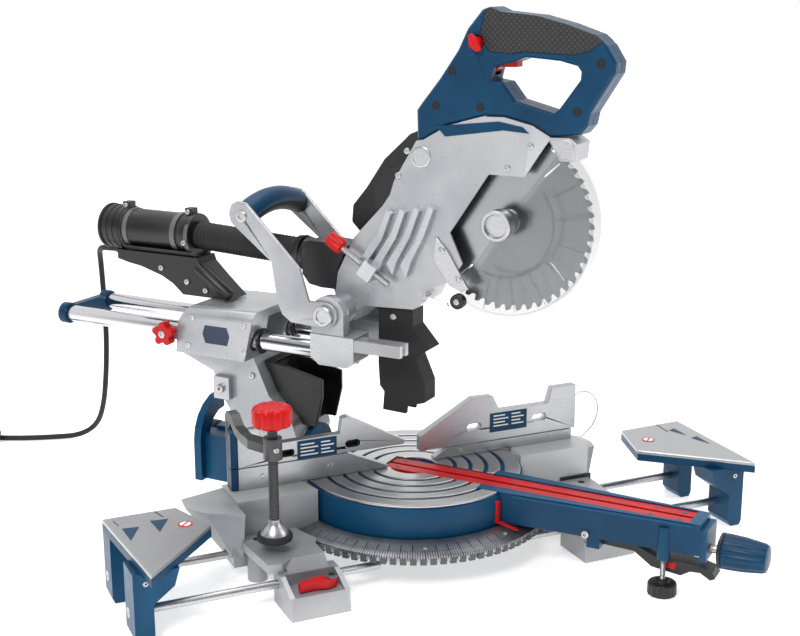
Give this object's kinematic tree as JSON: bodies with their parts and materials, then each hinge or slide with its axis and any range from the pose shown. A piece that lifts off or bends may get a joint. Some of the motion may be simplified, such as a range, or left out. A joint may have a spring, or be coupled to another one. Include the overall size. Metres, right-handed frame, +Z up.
{
  "type": "sliding compound mitre saw",
  "caption": "Sliding compound mitre saw with a turning table, pull-out side supports, two-piece fences, a hold-down clamp and a chop head on twin slide rails.",
  "frame": {"origin": "centre of the bench bolt pattern at bench level, on the turntable's turning axis", "axes": "+X along the fence to the operator's right, +Y away from the operator, +Z up; at rest the arm is mitred 38 degrees to the right and the head is up"},
  "size_m": [0.992, 1.0592, 0.669],
  "materials": {
    "cast_grey_paint": "light grey cast paint, satin",
    "petrol_blue_paint": "petrol blue enamel",
    "petrol_blue_plastic": "moulded petrol blue",
    "black_plastic": "moulded black",
    "red_plastic": "red moulded",
    "chromed_steel": "polished rails",
    "machined_aluminium": "machined face with fine streaks",
    "zinc_steel": "zinc plated",
    "blade_steel": "ground blade",
    "smoked_guard": "smoked clear plastic guard",
    "black_rubber": "soft overmould, hose and cord",
    "brass_bushing": "plain bearing bushing",
    "black_steel": "black oxide"
  },
  "bodies": {
    "base": {"base_casting": "cast_grey_paint", "scale_ring": "machined_aluminium", "fence_lower_left": "machined_aluminium", "fence_lower_right": "machined_aluminium", "base_feet": "black_rubber", "clamp_post": "black_steel"},
    "clamp": {"clamp_screw": "black_plastic"},
    "support_left": {"support_left_table": "machined_aluminium", "support_left_legs": "petrol_blue_paint", "support_left_rods": "zinc_steel"},
    "support_right": {"support_right_table": "machined_aluminium", "support_right_legs": "petrol_blue_paint", "support_right_rods": "zinc_steel"},
    "lever_left": {"support_lever_left": "red_plastic"},
    "lever_right": {"support_lever_right": "red_plastic"},
    "fence_left": {"fence_upper_left": "machined_aluminium"},
    "fence_right": {"fence_upper_right": "machined_aluminium", "tether_wire": "zinc_steel"},
    "turntable": {"turntable_drum": "petrol_blue_paint", "table_arcs": "machined_aluminium", "kerf_inserts": "red_plastic", "table_arm": "petrol_blue_paint", "bevel_scale": "petrol_blue_paint", "cord_coil": "black_rubber", "cord_plug": "black_rubber"},
    "arm_foot": {"arm_foot": "black_plastic"},
    "mitre_knob": {"mitre_lock_knob": "petrol_blue_plastic"},
    "detent": {"detent_lever": "black_plastic"},
    "tilt_arm": {"tilt_arm_casting": "cast_grey_paint", "linear_bearings": "brass_bushing", "duct_bracket": "black_plastic", "dust_tube": "black_plastic", "dust_scoop": "black_plastic", "dust_hose_rear": "black_rubber", "supply_cord": "black_rubber"},
    "slide_lock": {"slide_lock_knob": "red_plastic"},
    "bevel_lock": {"bevel_lock_lever": "black_plastic"},
    "carriage": {"slide_rails": "chromed_steel", "rail_end_cap": "petrol_blue_plastic", "front_carrier": "cast_grey_paint", "pivot_shaft": "zinc_steel", "carry_handle_plates": "cast_grey_paint", "carry_grip": "petrol_blue_plastic", "return_spring": "zinc_steel"},
    "head": {"upper_guard": "cast_grey_paint", "handle_shell_left": "petrol_blue_plastic", "handle_shell_right": "petrol_blue_plastic", "grip_overmould": "black_rubber", "gear_cover": "black_plastic", "motor_housing": "black_plastic", "dust_deflector": "black_rubber", "dust_port": "black_plastic", "dust_hose_front": "black_rubber"},
    "depth_stop": {"depth_stop": "zinc_steel"},
    "trigger": {"trigger": "red_plastic"},
    "lock_off": {"lock_off_button": "red_plastic"},
    "blade": {"saw_blade": "blade_steel", "blade_arbor": "zinc_steel"},
    "rotor": {"motor_rotor": "zinc_steel"},
    "guard": {"lower_guard": "smoked_guard"}
  },
  "joints": [
    {"name": "mitre_turn", "type": "hinge", "parent": "base", "child": "turntable", "pos_m": [0, 0, 0.05], "axis": [0, 0, 1], "range_deg": [-90, 14]},
    {"name": "bevel_tilt", "type": "hinge", "parent": "turntable", "child": "tilt_arm", "pos_m": [-0.12313, 0.1576, 0.095], "axis": [-0.6157, 0.788, 0], "range_deg": [-42, 2], "deforming": ["supply_cord"]},
    {"name": "head_slide", "type": "slide", "parent": "tilt_arm", "child": "carriage", "axis": [0.6157, -0.788, 0], "range_m": [-0.07, 0.18], "deforming": ["dust_hose_rear", "dust_hose_front"]},
    {"name": "head_chop", "type": "hinge", "parent": "carriage", "child": "head", "pos_m": [-0.05418, 0.06935, 0.297], "axis": [0.788, 0.6157, 0], "range_deg": [0, 55], "stiffness_Nm_per_rad": 12, "springref_deg": -114.59},
    {"name": "guard_swing", "type": "hinge", "parent": "head", "child": "guard", "pos_m": [0.07696, -0.0985, 0.4217], "axis": [0.788, 0.6157, 0], "range_deg": [-126, 0]},
    {"name": "blade_spin", "type": "hinge", "parent": "head", "child": "blade", "pos_m": [0.07696, -0.0985, 0.4217], "axis": [0.788, 0.6157, 0], "continuous": true},
    {"name": "rotor_spin", "type": "hinge", "parent": "head", "child": "rotor", "pos_m": [0.05196, 0.06344, 0.43], "axis": [0.788, 0.6157, 0], "continuous": true},
    {"name": "trigger_pull", "type": "slide", "parent": "head", "child": "trigger", "axis": [0, 0, 1], "range_m": [0, 0.0035], "stiffness_N_per_m": 400, "springref_m": -0.004},
    {"name": "lock_off_push", "type": "slide", "parent": "head", "child": "lock_off", "axis": [0.788, 0.6157, 0], "range_m": [0, 0.004], "stiffness_N_per_m": 300, "springref_m": -0.003},
    {"name": "depth_stop_turn", "type": "hinge", "parent": "head", "child": "depth_stop", "pos_m": [-0.08848, 0.05803, 0.3886], "axis": [0.5221, -0.6683, -0.5298], "range_deg": [-180, 180]},
    {"name": "mitre_lock_turn", "type": "hinge", "parent": "turntable", "child": "mitre_knob", "pos_m": [0.24503, -0.31363, 0.06], "axis": [-0.6157, 0.788, 0], "range_deg": [-180, 180]},
    {"name": "detent_press", "type": "hinge", "parent": "turntable", "child": "detent", "pos_m": [0.15638, -0.20015, 0.049], "axis": [0.788, 0.6157, 0], "range_deg": [0, 3.5], "stiffness_Nm_per_rad": 3, "springref_deg": -17.19},
    {"name": "arm_foot_turn", "type": "hinge", "parent": "turntable", "child": "arm_foot", "pos_m": [0.19312, -0.27804, 0.02], "axis": [0, 0, 1], "range_deg": [-180, 180]},
    {"name": "clamp_feed", "type": "slide", "parent": "base", "child": "clamp", "axis": [0, 0, -1], "range_m": [-0.055, 0.01]},
    {"name": "fence_slide_left", "type": "slide", "parent": "base", "child": "fence_left", "axis": [1, 0, 0], "range_m": [-0.06, 0]},
    {"name": "fence_slide_right", "type": "slide", "parent": "base", "child": "fence_right", "axis": [1, 0, 0], "range_m": [0, 0.06]},
    {"name": "support_slide_left", "type": "slide", "parent": "base", "child": "support_left", "axis": [-1, 0, 0], "range_m": [-0.008, 0.06]},
    {"name": "support_slide_right", "type": "slide", "parent": "base", "child": "support_right", "axis": [1, 0, 0], "range_m": [-0.008, 0.06]},
    {"name": "support_lever_left_turn", "type": "hinge", "parent": "base", "child": "lever_left", "pos_m": [-0.172, -0.15, 0.03], "axis": [0, 0, 1], "range_deg": [0, 25]},
    {"name": "support_lever_right_turn", "type": "hinge", "parent": "base", "child": "lever_right", "pos_m": [0.172, -0.15, 0.03], "axis": [0, 0, -1], "range_deg": [0, 25]},
    {"name": "slide_lock_turn", "type": "hinge", "parent": "tilt_arm", "child": "slide_lock", "pos_m": [-0.26227, 0.21387, 0.246], "axis": [0.788, 0.6157, 0], "range_deg": [-180, 180]},
    {"name": "bevel_lock_turn", "type": "hinge", "parent": "turntable", "child": "bevel_lock", "pos_m": [-0.18962, 0.24271, 0.095], "axis": [-0.6157, 0.788, 0], "range_deg": [-20, 40]}
  ],
  "couplings": [
    {"joint": "guard_swing", "follows": "head_chop", "ratio": -2.25},
    {"joint": "rotor_spin", "follows": "blade_spin", "ratio": 1.375}
  ]
}
